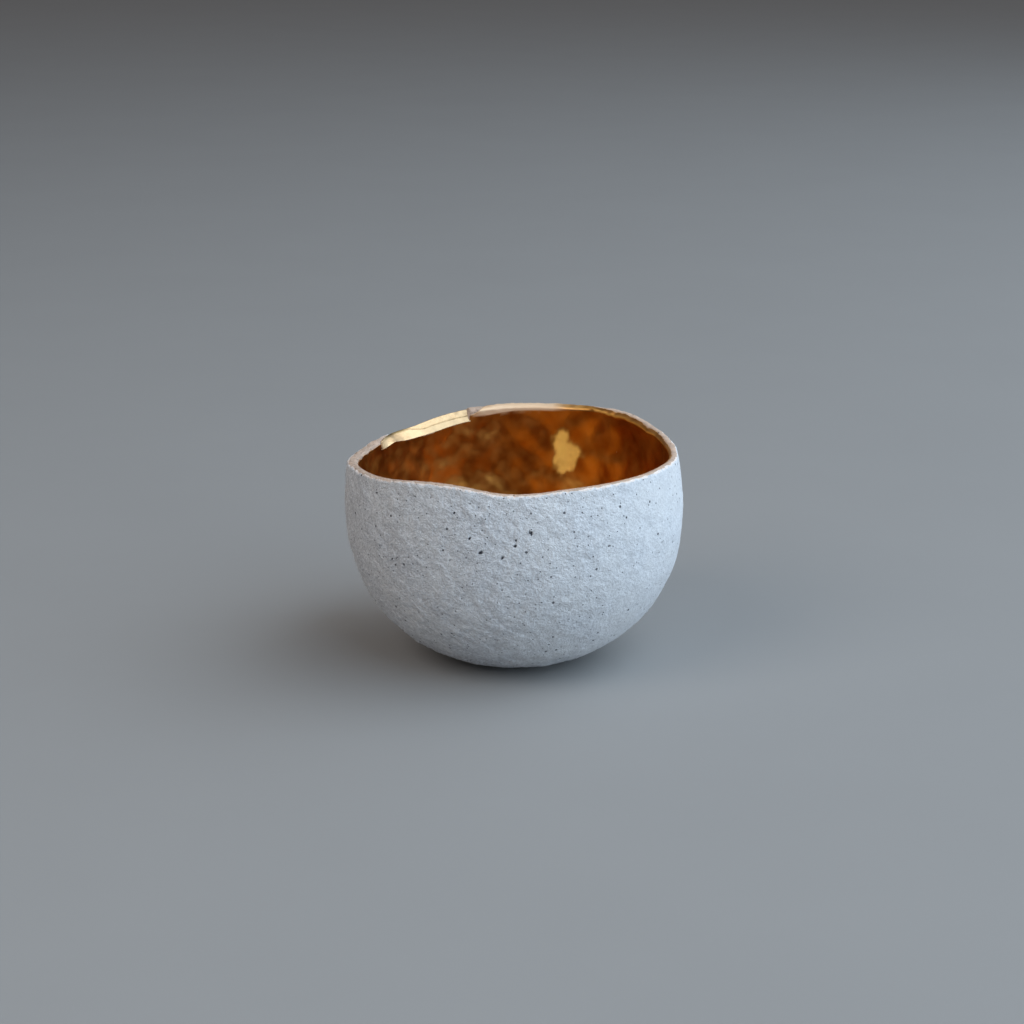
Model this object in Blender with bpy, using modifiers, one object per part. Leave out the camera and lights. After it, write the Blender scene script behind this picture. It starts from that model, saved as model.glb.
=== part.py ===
"""A hand-formed stoneware sake cup, gilded inside, with a chip in its rim filled with gilded lacquer.

The cup stands on the origin, +Z up, and the camera side is -Y. Azimuths run anticlockwise from +X, seen
from above. Each surface is first worked out as if turned on a wheel, and then shaped() bends it as the
maker's hand did: the rim rises and dips, the wall leans, and the hollow sits off centre.
"""

import math

import bmesh
import bpy
import numpy as np

# The turned form, in metres
BODY_RADIUS = 0.0350
BELLY_HEIGHT = 0.0323
NECK_HEIGHT = 0.0117
FOOT_RADIUS = 0.0110
RIM_TUCK = 0.0009
WALL = 0.0024
RIM_WALL = 0.0020
FLOOR = 0.0038
LIP_ROUND = 0.0008
BELLY_POWER = 2.19

# What the hand changed
RIM_LEAN = 0.0005
HOLLOW_SHIFT = 0.00025
STEADY_HEIGHT = 0.0180
# Each swell of the rim, chosen by hand: its azimuth and spread in degrees, and its rise in metres. In turn
# they are the dip at the right, the crest behind it, the long rise of the back, the dip in the mended
# stretch, the low left side, and a dip, a crest and a dip along the front.
RIM_SWELLS = (
    (0, 12, -0.0008),
    (45, 12, 0.0010),
    (75, 35, 0.0015),
    (130, 12, -0.0008),
    (165, 25, -0.0030),
    (215, 12, -0.0005),
    (245, 12, 0.0008),
    (270, 10, -0.0008),
)

# The chip in the rim and the lacquer that fills it
CHIP_FROM = 106.5
CHIP_TO = 147.5
CHIP_DEPTH = 0.0028
CHIP_TAIL_DEPTH = 0.0021
FILL_PROUD = 0.00025
FILL_GAP = 0.0003
# Across the fill: how far in the crease lies as a share of the rim's wall, at the blunt end and along the
# tail, where along the chip the tail begins, and the crease's and the bevel's lower edge's depth as shares
# of the fill's
CREASE_SHARE = 0.62
CREASE_TAIL_SHARE = 0.24
TAIL_BEGINS = 0.55
CREASE_DEPTH_SHARE = 0.36
BEVEL_DEPTH_SHARE = 0.80

# How finely the surfaces are divided
TURN_STEPS = 64
OUTER_STEPS = 15
INNER_STEPS = 13
NECK_STEPS = 4
LIP_STEPS = 3
CHIP_STEPS = 16
CUTTER_MARGIN = 0.0020

RIM_HEIGHT = BELLY_HEIGHT + NECK_HEIGHT
MERGE_DISTANCE = 0.00001

STONEWARE = ("stoneware", (0.56, 0.57, 0.58, 1), 0.92, 0.0)
GOLD_LUSTRE = ("gold_lustre", (0.62, 0.33, 0.07, 1), 0.28, 1.0)
GILDED_LACQUER = ("gilded_lacquer", (0.86, 0.66, 0.30, 1), 0.30, 1.0)


def superellipse_share(share):
    """Width left, as a share of the widest, at a share of the way from the widest place to the pole."""
    return (1 - np.clip(share, 0, 1) ** BELLY_POWER) ** (1 / BELLY_POWER)


def outer_radius(height):
    """Radius of the outside: a superellipse cut off by the flat foot, and above the belly a slight tuck."""
    pole_depth = BELLY_HEIGHT / superellipse_share(FOOT_RADIUS / BODY_RADIUS)
    below = BODY_RADIUS * superellipse_share((BELLY_HEIGHT - height) / pole_depth)
    above = BODY_RADIUS - RIM_TUCK * ((height - BELLY_HEIGHT) / NECK_HEIGHT) ** 2
    return np.where(height < BELLY_HEIGHT, below, above)


def inner_radius(height):
    """Radius of the hollow: a superellipse down to the floor, and above the belly the wall thins to the rim."""
    hollow_depth = BELLY_HEIGHT - FLOOR
    below = (BODY_RADIUS - WALL) * superellipse_share((BELLY_HEIGHT - height) / hollow_depth)
    thinned = (height - BELLY_HEIGHT) / NECK_HEIGHT
    above = outer_radius(height) - WALL + (WALL - RIM_WALL) * thinned
    return np.where(height < BELLY_HEIGHT, below, above)


def rim_rise(azimuth):
    """How far the rim stands above or below RIM_HEIGHT: a sum of bell-shaped swells."""
    rise = np.zeros_like(azimuth)
    for centre, spread, height in RIM_SWELLS:
        away = (azimuth - centre + 180) % 360 - 180
        rise += height * np.exp(-0.5 * (away / spread) ** 2)
    return rise


def shaped(turned):
    """The hand-shaped place of each turned point. The pull grows as the square of the height above the
    steady lower body, and the hollow's shift grows from nothing outside to all of it inside the wall."""
    x, y, z = turned.T
    azimuth = np.degrees(np.arctan2(y, x))
    pull = np.clip((z - STEADY_HEIGHT) / (RIM_HEIGHT - STEADY_HEIGHT), 0, None) ** 2
    inwards = np.clip((outer_radius(z) - np.hypot(x, y)) / RIM_WALL, 0, 1)
    sideways = (HOLLOW_SHIFT * inwards - RIM_LEAN) * pull
    return np.column_stack([x + sideways, y, z + rim_rise(azimuth) * pull])


def material(name, colour, roughness, metallic):
    """A Principled BSDF material, made once."""
    found = bpy.data.materials.get(name)
    if found:
        return found
    made = bpy.data.materials.new(name)
    made.use_nodes = True
    shader = made.node_tree.nodes["Principled BSDF"]
    shader.inputs["Base Color"].default_value = colour
    shader.inputs["Roughness"].default_value = roughness
    shader.inputs["Metallic"].default_value = metallic
    made.diffuse_color = colour
    return made


def add_object(name, mesh, collection, *finishes):
    made = bpy.data.objects.new(name, mesh)
    for finish in finishes:
        mesh.materials.append(material(*finish))
    collection.objects.link(made)
    return made


def arc(centre, radius, start, end, steps):
    """Points (radius, height) along an arc, with start and end angles in degrees."""
    angles = np.radians(np.linspace(start, end, steps + 1))
    return np.column_stack([centre[0] + radius * np.cos(angles), centre[1] + radius * np.sin(angles)])


def cup_profile():
    """(radius, height) points from the middle of the floor up the hollow, over the lip and down the
    outside to the foot. On the curved parts, equal steps of the superellipse's own angle space them."""
    lip = min(LIP_ROUND, 0.45 * RIM_WALL)
    power = 2 / BELLY_POWER
    falls = np.radians(np.linspace(90, 0, INNER_STEPS + 1))
    heights_in = BELLY_HEIGHT - (BELLY_HEIGHT - FLOOR) * np.sin(falls) ** power
    neck = np.linspace(BELLY_HEIGHT, RIM_HEIGHT - lip, NECK_STEPS + 1)
    foot_share = superellipse_share(FOOT_RADIUS / BODY_RADIUS)
    last = math.asin(foot_share ** (1 / power))
    dips = np.sin(np.linspace(0, last, OUTER_STEPS + 1)) ** power
    heights_out = BELLY_HEIGHT * (1 - dips / foot_share)
    heights_out[-1] = 0
    rim_in, rim_out = inner_radius(neck[-1]), outer_radius(neck[-1])
    hollow = [(0, FLOOR), *zip(inner_radius(heights_in[1:-1]), heights_in[1:-1]), *zip(inner_radius(neck), neck)]
    over = [
        *arc((rim_in + lip, neck[-1]), lip, 180, 90, LIP_STEPS)[1:],
        *arc((rim_out - lip, neck[-1]), lip, 90, 0, LIP_STEPS)[:-1],
    ]
    outside = [*zip(outer_radius(neck[::-1]), neck[::-1]), *zip(outer_radius(heights_out[1:]), heights_out[1:])]
    return [*hollow, *over, *outside, (0, 0)]


def turned_mesh(name, profile):
    """The profile turned about Z with a Screw modifier, as a plain mesh."""
    line = bpy.data.meshes.new(name + "_profile")
    points = [(radius, 0, height) for radius, height in profile]
    line.from_pydata(points, [(i, i + 1) for i in range(len(points) - 1)], [])
    blank = bpy.data.objects.new(name + "_profile", line)
    bpy.context.scene.collection.objects.link(blank)
    screw = blank.modifiers.new("turn", "SCREW")
    screw.steps = screw.render_steps = TURN_STEPS
    screw.use_merge_vertices = True
    screw.merge_threshold = MERGE_DISTANCE
    graph = bpy.context.evaluated_depsgraph_get()
    mesh = bpy.data.meshes.new_from_object(blank.evaluated_get(graph))
    mesh.name = name
    bpy.data.objects.remove(blank)
    return mesh


def shape_by_hand(mesh):
    """Moves every vertex of a turned mesh to its hand-shaped place."""
    turned = np.empty(len(mesh.vertices) * 3)
    mesh.vertices.foreach_get("co", turned)
    mesh.vertices.foreach_set("co", shaped(turned.reshape(-1, 3)).ravel())
    mesh.update()


def gild_hollow(mesh):
    """Gives the faces of the hollow the second material, where they lie nearer the hollow than the outside."""
    centres = np.empty(len(mesh.polygons) * 3)
    mesh.polygons.foreach_get("center", centres)
    x, y, z = centres.reshape(-1, 3).T
    middle = (outer_radius(z) + inner_radius(z)) / 2
    inside = (np.hypot(x, y) < middle) & (z > FLOOR - MERGE_DISTANCE)
    mesh.polygons.foreach_set("material_index", inside.astype(np.int32))


def loft(name, rings):
    """A closed solid through rings of equal numbers of points, with a flat cap on each end."""
    shape = bmesh.new()
    made = [[shape.verts.new(point) for point in ring] for ring in rings]
    for here, there in zip(made, made[1:]):
        for i in range(len(here)):
            j = (i + 1) % len(here)
            shape.faces.new((here[i], here[j], there[j], there[i]))
    shape.faces.new(made[0])
    shape.faces.new(made[-1])
    bmesh.ops.recalc_face_normals(shape, faces=shape.faces)
    mesh = bpy.data.meshes.new(name)
    shape.to_mesh(mesh)
    shape.free()
    return mesh


def chip_depth(share):
    """Depth of the chip below the rim, from its blunt end (share 0) to its shallow tail (share 1)."""
    return CHIP_DEPTH + (CHIP_TAIL_DEPTH - CHIP_DEPTH) * share


def ring_at(azimuth, section):
    """A section of (radius, height) points stood up at an azimuth and shaped by hand."""
    radii, heights = np.array(section).T
    angle = math.radians(azimuth)
    return shaped(np.column_stack([radii * math.cos(angle), radii * math.sin(angle), heights]))


def chip_rings():
    """Sections of the cutter: a box through the wall, from the chip's floor to well above the rim."""
    reach = CUTTER_MARGIN + FILL_PROUD
    for share in np.linspace(0, 1, CHIP_STEPS + 1):
        floor = RIM_HEIGHT - chip_depth(share)
        inside, outside = inner_radius(floor) - reach, outer_radius(floor) + reach
        top = RIM_HEIGHT + reach
        section = [(outside, floor), (outside, top), (inside, top), (inside, floor)]
        yield ring_at(CHIP_FROM + (CHIP_TO - CHIP_FROM) * share, section)


def fill_section(share):
    """(radius, height) points round the lacquer: up the outside, over a low crest, down a slope to the
    crease and down a steeper bevel to the hollow. The crease moves out towards the crest until the tail."""
    depth = chip_depth(share) - FILL_GAP
    floor = RIM_HEIGHT - depth
    rim_out, rim_in = outer_radius(RIM_HEIGHT), inner_radius(RIM_HEIGHT)
    crease_share = np.interp(share, (0, TAIL_BEGINS), (CREASE_SHARE, CREASE_TAIL_SHARE))
    inset = crease_share * RIM_WALL
    crease_depth = CREASE_DEPTH_SHARE * depth * crease_share / CREASE_SHARE
    return [
        (outer_radius(floor), floor),
        (outer_radius(floor + depth / 3) + FILL_PROUD, floor + depth / 3),
        (rim_out + FILL_PROUD, RIM_HEIGHT - FILL_PROUD),
        (rim_out, RIM_HEIGHT + FILL_PROUD),
        (rim_out - inset / 3, RIM_HEIGHT + FILL_PROUD / 2),
        (rim_out - inset, RIM_HEIGHT - crease_depth),
        (rim_in - FILL_PROUD, RIM_HEIGHT - BEVEL_DEPTH_SHARE * depth),
        (rim_in, floor),
    ]


def fill_rings():
    """Sections of the lacquer from end to end of the chip, held back from both ends by the gap."""
    gap_angle = math.degrees(FILL_GAP / outer_radius(RIM_HEIGHT))
    for share in np.linspace(0, 1, CHIP_STEPS + 1):
        azimuth = CHIP_FROM + gap_angle + (CHIP_TO - CHIP_FROM - 2 * gap_angle) * share
        yield ring_at(azimuth, fill_section(share))


def make_cup(collection, cutters):
    """The stoneware cup, hollow, with the chip cut out of its rim."""
    mesh = turned_mesh("stoneware_cup", cup_profile())
    gild_hollow(mesh)
    shape_by_hand(mesh)
    cup = add_object("stoneware_cup", mesh, collection, STONEWARE, GOLD_LUSTRE)
    mesh.shade_smooth()
    cutter = add_object("chip_cutter", loft("chip_cutter", list(chip_rings())), cutters)
    cutter.hide_render = True
    cutter.display_type = "WIRE"
    chip = cup.modifiers.new("chip", "BOOLEAN")
    chip.operation = "DIFFERENCE"
    chip.solver = "EXACT"
    chip.object = cutter
    return cup


def make_fill(collection):
    """The gilded lacquer that fills the chip, standing a little proud of the rim."""
    return add_object("kintsugi_fill", loft("kintsugi_fill", list(fill_rings())), collection, GILDED_LACQUER)


def new_collection(name):
    made = bpy.data.collections.new(name)
    bpy.context.scene.collection.children.link(made)
    return made


def main():
    for old in list(bpy.data.objects):
        bpy.data.objects.remove(old)
    pieces = new_collection("kintsugi_sake_cup")
    cutters = new_collection("cutters")
    make_cup(pieces, cutters)
    make_fill(pieces)


main()
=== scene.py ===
"""The looks of a kintsugi sake cup: speckled stoneware, gold lustre inside and a gilded mend in the rim.

The file is laid out as an add-on. Run as a script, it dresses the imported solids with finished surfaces, all
in metres in the solids' own frame: +Z up, -Y towards the viewer, azimuths anticlockwise from +X.
"""

import math

import bpy
import numpy as np
from bpy.props import FloatProperty, FloatVectorProperty, IntProperty, PointerProperty
from mathutils import Matrix, Vector


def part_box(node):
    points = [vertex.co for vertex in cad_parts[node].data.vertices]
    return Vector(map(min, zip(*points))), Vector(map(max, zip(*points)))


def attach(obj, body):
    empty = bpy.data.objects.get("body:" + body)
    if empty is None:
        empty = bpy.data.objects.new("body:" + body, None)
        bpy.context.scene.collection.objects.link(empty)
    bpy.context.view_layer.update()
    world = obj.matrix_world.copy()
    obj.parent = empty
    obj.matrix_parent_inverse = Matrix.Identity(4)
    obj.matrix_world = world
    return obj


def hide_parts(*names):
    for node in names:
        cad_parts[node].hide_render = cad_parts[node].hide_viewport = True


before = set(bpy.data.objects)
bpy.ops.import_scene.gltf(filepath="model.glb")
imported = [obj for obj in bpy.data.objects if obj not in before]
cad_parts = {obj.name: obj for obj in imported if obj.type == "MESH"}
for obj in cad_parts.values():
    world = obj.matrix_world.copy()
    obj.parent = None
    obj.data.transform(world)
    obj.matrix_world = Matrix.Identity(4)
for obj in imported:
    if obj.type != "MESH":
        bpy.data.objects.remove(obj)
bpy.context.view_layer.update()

bl_info = {
    "name": "Kintsugi Sake Cup",
    "version": (1, 0, 0),
    "blender": (4, 5, 0),
    "location": "View3D > Sidebar > Sake Cup",
    "description": "Builds a speckled stoneware cup with gold lustre inside and a gilded mend in its rim",
    "category": "Object",
}

MM = 0.001

# Each swell of the rim: its azimuth and spread in degrees, and its rise in metres. In turn
# they are the dip at the right, the crest behind it, the long rise of the back, the dip in the mended
# stretch, the low left side, and a dip, a crest and a dip along the front.
RIM_SWELLS = (
    (0, 12, -0.0008),
    (45, 12, 0.0010),
    (75, 35, 0.0015),
    (130, 12, -0.0008),
    (165, 25, -0.0030),
    (215, 12, -0.0005),
    (245, 12, 0.0008),
    (270, 10, -0.0008),
)
# The lustre's edge at each azimuth: how far it reaches over the lip, from the lip's inner edge (0) to its
# outer edge (1), how far it gathers in a bead, how pale it is there, and how many metres down the hollow the
# pale gold runs
LUSTRE_EDGE = (
    (0, 0.30, 0.7, 0.05, 0.0001),
    (30, 0.24, 1.0, 0.05, 0.0001),
    (50, 0.28, 1.0, 0.05, 0.0001),
    (57, 0.45, 0.8, 0.05, 0.0001),
    (61, 0.88, 0.4, 0.05, 0.0001),
    (69, 0.92, 0.3, 0.20, 0.0003),
    (75, 0.92, 0.1, 1.0, 0.0005),
    (90, 0.90, 0.0, 1.0, 0.0006),
    (96, 0.80, 0.0, 1.0, 0.0009),
    (100, 0.50, 0.0, 0.9, 0.0011),
    (103, 0.12, 0.0, 0.8, 0.0011),
    (106, -0.12, 0.0, 0.5, 0.0010),
    (108, -0.12, 0.0, 0.0, 0.0001),
    (150, 0.02, 0.0, 0.0, 0.0001),
    (172, 0.06, 0.1, 0.0, 0.0001),
    (205, 0.22, 0.1, 0.0, 0.0001),
    (240, 0.38, 0.1, 0.2, 0.0001),
    (300, 0.42, 0.2, 0.2, 0.0001),
)
# The four pits that stand out in the front: azimuth in degrees, height, half length and half width in metres,
# and how far the pit's length is turned from level, in degrees
PITS = (
    (270, 0.0335, 0.00036, 0.00032, 0),
    (266, 0.0310, 0.00038, 0.00031, 40),
    (259, 0.0320, 0.00054, 0.00032, 5),
    (275, 0.0360, 0.00062, 0.00030, -60),
)
SMALL_PITS = 44
SMALL_PIT_SIZE = 0.00026
# How far the unseen underside of the lustre lies in the clay, and how far back the clay's hollow lies
UNDERSIDE = 0.00030
HOLLOW_GAP = 0.00040
# Painted reflections of the lamps in the lustre: the ovals that make up the pale leaf-like patch, and two
# fainter ones: azimuth in degrees, height, half width and half height in metres, and strength
PAINTED_GLINTS = (
    (72, 0.0375, 0.0018, 0.0025, 1.0),
    (69, 0.0355, 0.0028, 0.0020, 1.0),
    (71, 0.0330, 0.0020, 0.0025, 1.0),
    (68, 0.0335, 0.0015, 0.0015, 1.0),
    (63, 0.0270, 0.0040, 0.0015, 0.15),
    (99, 0.0385, 0.0015, 0.0010, 0.10),
)


def highest_rise():
    """The rim's greatest rise over its mean height."""
    return float(rim_rise(np.arange(0.0, 360.0)).max())


def rim_rise(azimuth):
    """The rim's rise over its mean height: a sum of bell curves, one for each swell."""
    rise = np.zeros_like(azimuth)
    for centre, spread, height in RIM_SWELLS:
        away = (azimuth - centre + 180) % 360 - 180
        rise += height * np.exp(-0.5 * (away / spread) ** 2)
    return rise


CUP_LOW, CUP_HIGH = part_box("stoneware_cup")
BODY_RADIUS = (CUP_HIGH.y - CUP_LOW.y) / 2
MEAN_RIM = CUP_HIGH.z - highest_rise()


def length(name, description, default):
    return FloatProperty(name=name, description=description, default=default, unit="LENGTH", precision=5)


def angle(name, description, degrees):
    return FloatProperty(name=name, description=description, default=math.radians(degrees), subtype="ANGLE")


def power(name, description, default):
    return FloatProperty(name=name, description=description, default=default, unit="POWER")


def share(name, description, default):
    return FloatProperty(name=name, description=description, default=default, min=0, max=1, subtype="FACTOR")


def colour(name, description, default):
    return FloatVectorProperty(
        name=name, description=description, default=default, size=3, min=0, max=1, subtype="COLOR"
    )


class CupSizes(bpy.types.PropertyGroup):
    body_radius: length("Body radius", "Widest radius of the cup", BODY_RADIUS)
    rim_height: length("Rim height", "Mean height of the rim", MEAN_RIM)
    neck_height: length("Neck height", "Height of the nearly upright wall under the rim", 0.0117)
    foot_radius: length("Foot radius", "Radius of the flat that the cup rests on", 0.011)
    rim_tuck: length("Rim tuck", "How much narrower the rim is than the belly", 0.0009)
    wall: length("Wall", "Thickness of the wall at the belly", 0.0024)
    rim_wall: length("Rim wall", "Thickness of the wall at the rim", 0.002)
    lip_round: length("Lip rounding", "Radius of the lip's two edges", 0.0008)
    floor: length("Floor", "Thickness of the floor", 0.0038)
    roundness: FloatProperty(
        name="Roundness", description="Power of the superellipse of the bowl", default=2.19
    )
    lean: length("Lean", "How far the rim leans to the left", 0.0005)
    hollow_shift: length("Hollow shift", "How far the mouth sits to the right", 0.00025)
    steady_height: length("Steady height", "Height below which the hand left no mark", 0.018)


class ClayFinish(bpy.types.PropertyGroup):
    pale: colour("Pale clay", "Colour of the raised grain", (0.82, 0.835, 0.865))
    deep: colour("Deep clay", "Colour of the hollows of the grain", (0.47, 0.475, 0.50))
    warm: colour("Warm clay", "Colour of the slow warmer patches", (0.68, 0.66, 0.64))
    speck: colour("Speck", "Colour of the iron specks", (0.030, 0.030, 0.040))
    # Toasted clay: the lip's own toasted colour on its top, also painted darker there as the shade on the top
    # of the lip.
    toasted_and_shaded: colour("Toasted clay", "Colour of the bare clay on top of the lip", (0.60, 0.41, 0.29))
    # Flushed clay: the pinkish clay over the lip's outer rounding, also painted lighter there as the light
    # that the outward-facing rounding catches.
    flushed_and_lit: colour("Flushed clay", "Colour of the clay over the lip's outer edge", (0.86, 0.74, 0.67))
    lump_depth: length("Lump depth", "Height of the slow unevenness left by the hand", 0.00004)
    # The roughest azimuth is also where the tone's contrast is raised most, as painted shade of the relief.
    roughest: angle("Roughest", "Azimuth where the clay is sandiest and its brush marks strongest", 205)
    dab_depth: length("Dab depth", "Height of the slanting marks of the brush", 0.000036)
    lip_depth: length("Lip depth", "Height of the small bumps and nicks along the lip", 0.000032)
    grain_depth: length("Grain depth", "Height of the finest grain", 0.00015)


class LustreFinish(bpy.types.PropertyGroup):
    gold: colour("Lustre", "Colour of the gold lustre", (0.65, 0.305, 0.068))
    deep_gold: colour("Deep lustre", "Colour where the lustre is thick", (0.36, 0.13, 0.02))
    # The pale patches are painted reflections of the lamps in the lustre.
    leaf: colour("Pale patches", "Colour of the pale leaf-like patches", (0.90, 0.49, 0.08))
    lip_gold: colour("Lip gold", "Colour of the thin gold over the lip", (0.92, 0.66, 0.44))
    worn: colour("Worn edge", "Colour of the lustre's worn edge", (0.62, 0.40, 0.24))
    film: length("Film", "Thickness of glaze and lustre over the clay", 0.00008)
    bead: length("Bead", "Extra thickness of the glaze where it gathers under the lip", 0.00028)
    ripple: length("Ripple", "Height of the unevenness that breaks up the reflections", 0.00009)


class MendFinish(bpy.types.PropertyGroup):
    start: angle("Start", "Azimuth of the mend's blunt end", 107.2)
    end: angle("End", "Azimuth of the mend's tail", 151.5)
    depth: length("Depth", "Depth of the chip at its blunt end", 0.0028)
    tail_depth: length("Tail depth", "Depth of the chip at its tail", 0.0021)
    proud: length("Proud", "How far the lacquer stands out of the clay", 0.00016)
    inner_depth: length("Inner depth", "Depth of the chip at the hollow", 0.0024)
    belly: length("Belly", "How much deeper the chip is at the hollow before its middle", 0.00045)
    pinch: length("Pinch", "How much shallower it is just before its tail", 0.00065)
    crest_drop: length("Crest drop", "How far the mend's crest lies under the lip", 0.00032)
    dip: length("Dip", "How much further the crest lies where the upper band ends", 0.00022)
    trim: share("Trim", "How far down the hollow the crest runs at the tail", 0.30)
    band: share("Band", "Width of the upper band as a share of the rim's wall", 0.465)
    band_narrows: share("Band narrows", "Where along the mend the upper band starts to narrow", 0.43)
    band_ends: share("Band ends", "Where along the mend the upper band has narrowed to nothing", 0.60)
    gold: colour("Gold powder", "Colour of the burnished gold powder", (0.60, 0.405, 0.225))
    # The shade colour serves both the lacquer that shows through at the worn ends and the painted shade along
    # the crease and under the crest.
    shade: colour("Lacquer shade", "Colour of the gold where lacquer shows through", (0.17, 0.12, 0.045))


class Studio(bpy.types.PropertyGroup):
    floor_colour: colour("Floor", "Colour of the floor", (0.28, 0.275, 0.27))
    room_colour: colour("Room", "Colour of the dim light from all round", (0.19, 0.175, 0.17))
    key_power: power("Key", "Power of the window-like light", 28.5)
    back_power: power("Back", "Power of the light behind", 2.4)
    top_power: power("Top", "Power of the overhead light", 1.6)
    side_power: power("Side", "Power of the left light", 2.3)
    camera_distance: length("Camera distance", "Distance from the cup to the camera", 0.52)
    camera_height: angle("Camera height", "Camera's angle over the floor", 17)
    fine: IntProperty(name="Columns", description="Columns of faces round the cup", default=560, min=32)


class CupForm:
    """The cup's shape as functions of height and azimuth, read from the sidebar's sizes."""

    def __init__(self, sizes, mend):
        self.sizes = sizes
        self.mend = mend
        self.belly_height = sizes.rim_height - sizes.neck_height

    def superellipse_share(self, share_down):
        """Width left at a share of the way down: one minus that share to a power, to one over the power."""
        power = self.sizes.roundness
        return (1 - np.clip(share_down, 0, 1) ** power) ** (1 / power)

    def outer_radius(self, height):
        """Outside: a superellipse cut off by the foot, and above the belly a tuck that grows as a square."""
        sizes = self.sizes
        pole_depth = self.belly_height / self.superellipse_share(sizes.foot_radius / sizes.body_radius)
        below = sizes.body_radius * self.superellipse_share((self.belly_height - height) / pole_depth)
        above = sizes.body_radius - sizes.rim_tuck * ((height - self.belly_height) / sizes.neck_height) ** 2
        return np.where(height < self.belly_height, below, above)

    def inner_radius(self, height):
        """Hollow: a superellipse down to the floor, and above the belly the outside less a thinning wall."""
        sizes = self.sizes
        hollow_depth = self.belly_height - sizes.floor
        below = self.superellipse_share((self.belly_height - height) / hollow_depth)
        thinned = (height - self.belly_height) / sizes.neck_height
        above = self.outer_radius(height) - sizes.wall + (sizes.wall - sizes.rim_wall) * thinned
        return np.where(height < self.belly_height, (sizes.body_radius - sizes.wall) * below, above)

    def chip_share(self, azimuth):
        """0 at the mend's blunt end and 1 at its tail."""
        start, end = math.degrees(self.mend.start), math.degrees(self.mend.end)
        return (azimuth % 360 - start) / (end - start)

    def chip_edge(self, along):
        """How far into the wall, as a share of it, the chip's outer edge lies: past the outside at first, so
        that the chip goes right through, and then in straight lines nearly to the hollow."""
        return np.interp(along, (0.72, 0.86, 0.95, 1), (-0.12, 0.32, 0.50, 0.80))

    def outer_drop(self, along):
        """Depth of the chip at the outside, in a straight line from its blunt end to its tail."""
        return self.mend.depth + (self.mend.tail_depth - self.mend.depth) * along

    def inner_drop(self, along):
        """Depth of the chip at the hollow: a constant, a bell curve more before the middle and another less
        before the tail."""
        belly = self.mend.belly * np.exp(-(((along - 0.38) / 0.22) ** 2))
        pinch = self.mend.pinch * np.exp(-(((along - 0.79) / 0.09) ** 2))
        return self.mend.inner_depth + belly - pinch

    def chip_depth(self, azimuth, inwards):
        """Depth of the chip, in a straight line from outside to hollow, running out to nothing at its tail
        and over an eighth of the wall at its outer edge."""
        along = self.chip_share(azimuth)
        depth = self.outer_drop(along) * (1 - inwards) + self.inner_drop(along) * inwards
        depth = depth * np.clip((inwards - self.chip_edge(along)) / 0.12, 0, 1)
        return np.where((along >= 0) & (along <= 1), depth * np.clip((1 - along) / 0.08, 0, 1), 0)

    def shaped(self, points, chipped=True):
        """Turned points as the hand left them. In the chip, the top of the wall is pressed down to its
        floor. Then everything over the steady height rises with the rim and leans with it, by the square
        of its height, and the hollow is shifted inside the wall."""
        x, y, z = np.moveaxis(points, -1, 0)
        sizes = self.sizes
        azimuth = np.degrees(np.arctan2(y, x))
        inwards = np.clip((self.outer_radius(z) - np.hypot(x, y)) / sizes.rim_wall, 0, 1)
        if chipped:
            depth = self.chip_depth(azimuth, inwards)
            squeeze_from = sizes.rim_height - depth - 0.5 * MM
            squeeze = 0.5 * MM / (depth + 0.5 * MM)
            z = np.where(z > squeeze_from, squeeze_from + (z - squeeze_from) * squeeze, z)
        pull = np.clip((z - sizes.steady_height) / (sizes.rim_height - sizes.steady_height), 0, None) ** 2
        sideways = (sizes.hollow_shift * inwards - sizes.lean) * pull
        return np.stack([x + sideways, y, z + rim_rise(azimuth) * pull], axis=-1)

    def outer_line(self, steps):
        """(radius, height) from the middle of the foot up the outside to the start of the lip."""
        top = self.sizes.rim_height - self.sizes.lip_round
        falls = np.linspace(math.pi / 2, 0, steps)
        heights = np.concatenate([self.belly_height * (1 - np.sin(falls)), [top]])
        heights[:-1] = np.maximum(heights[:-1], 0)
        rising = np.column_stack([self.outer_radius(heights), heights])
        rising[0] = self.sizes.foot_radius, 0
        neck_heights = np.linspace(self.belly_height, top, steps)[1:]
        neck = np.column_stack([self.outer_radius(neck_heights), neck_heights])
        return np.vstack([[0, 0], rising[:-1], neck])

    def inner_line(self, steps):
        """(radius, height) from the middle of the floor up the hollow to the start of the lip."""
        top = self.sizes.rim_height - self.sizes.lip_round
        falls = np.linspace(math.pi / 2, 0, steps)
        power = 2 / self.sizes.roundness
        heights = self.belly_height - (self.belly_height - self.sizes.floor) * np.sin(falls) ** power
        rising = np.column_stack([self.inner_radius(heights), heights])
        rising[0] = 0, self.sizes.floor
        neck_heights = np.linspace(self.belly_height, top, steps)[1:]
        neck = np.column_stack([self.inner_radius(neck_heights), neck_heights])
        return np.vstack([rising, neck])

    def lip_line(self, steps):
        """(radius, height) over the lip from its outer to its inner end: two quarter circles and a flat."""
        sizes = self.sizes
        low = sizes.rim_height - sizes.lip_round
        turn = np.linspace(0, math.pi / 2, steps)
        outer_centre = self.outer_radius(low) - sizes.lip_round
        inner_centre = self.inner_radius(low) + sizes.lip_round
        rise = low + sizes.lip_round * np.sin(turn)
        outer = np.column_stack([outer_centre + sizes.lip_round * np.cos(turn), rise])
        inner = np.column_stack([inner_centre - sizes.lip_round * np.cos(turn), rise])[::-1]
        return np.vstack([outer, inner])


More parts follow.
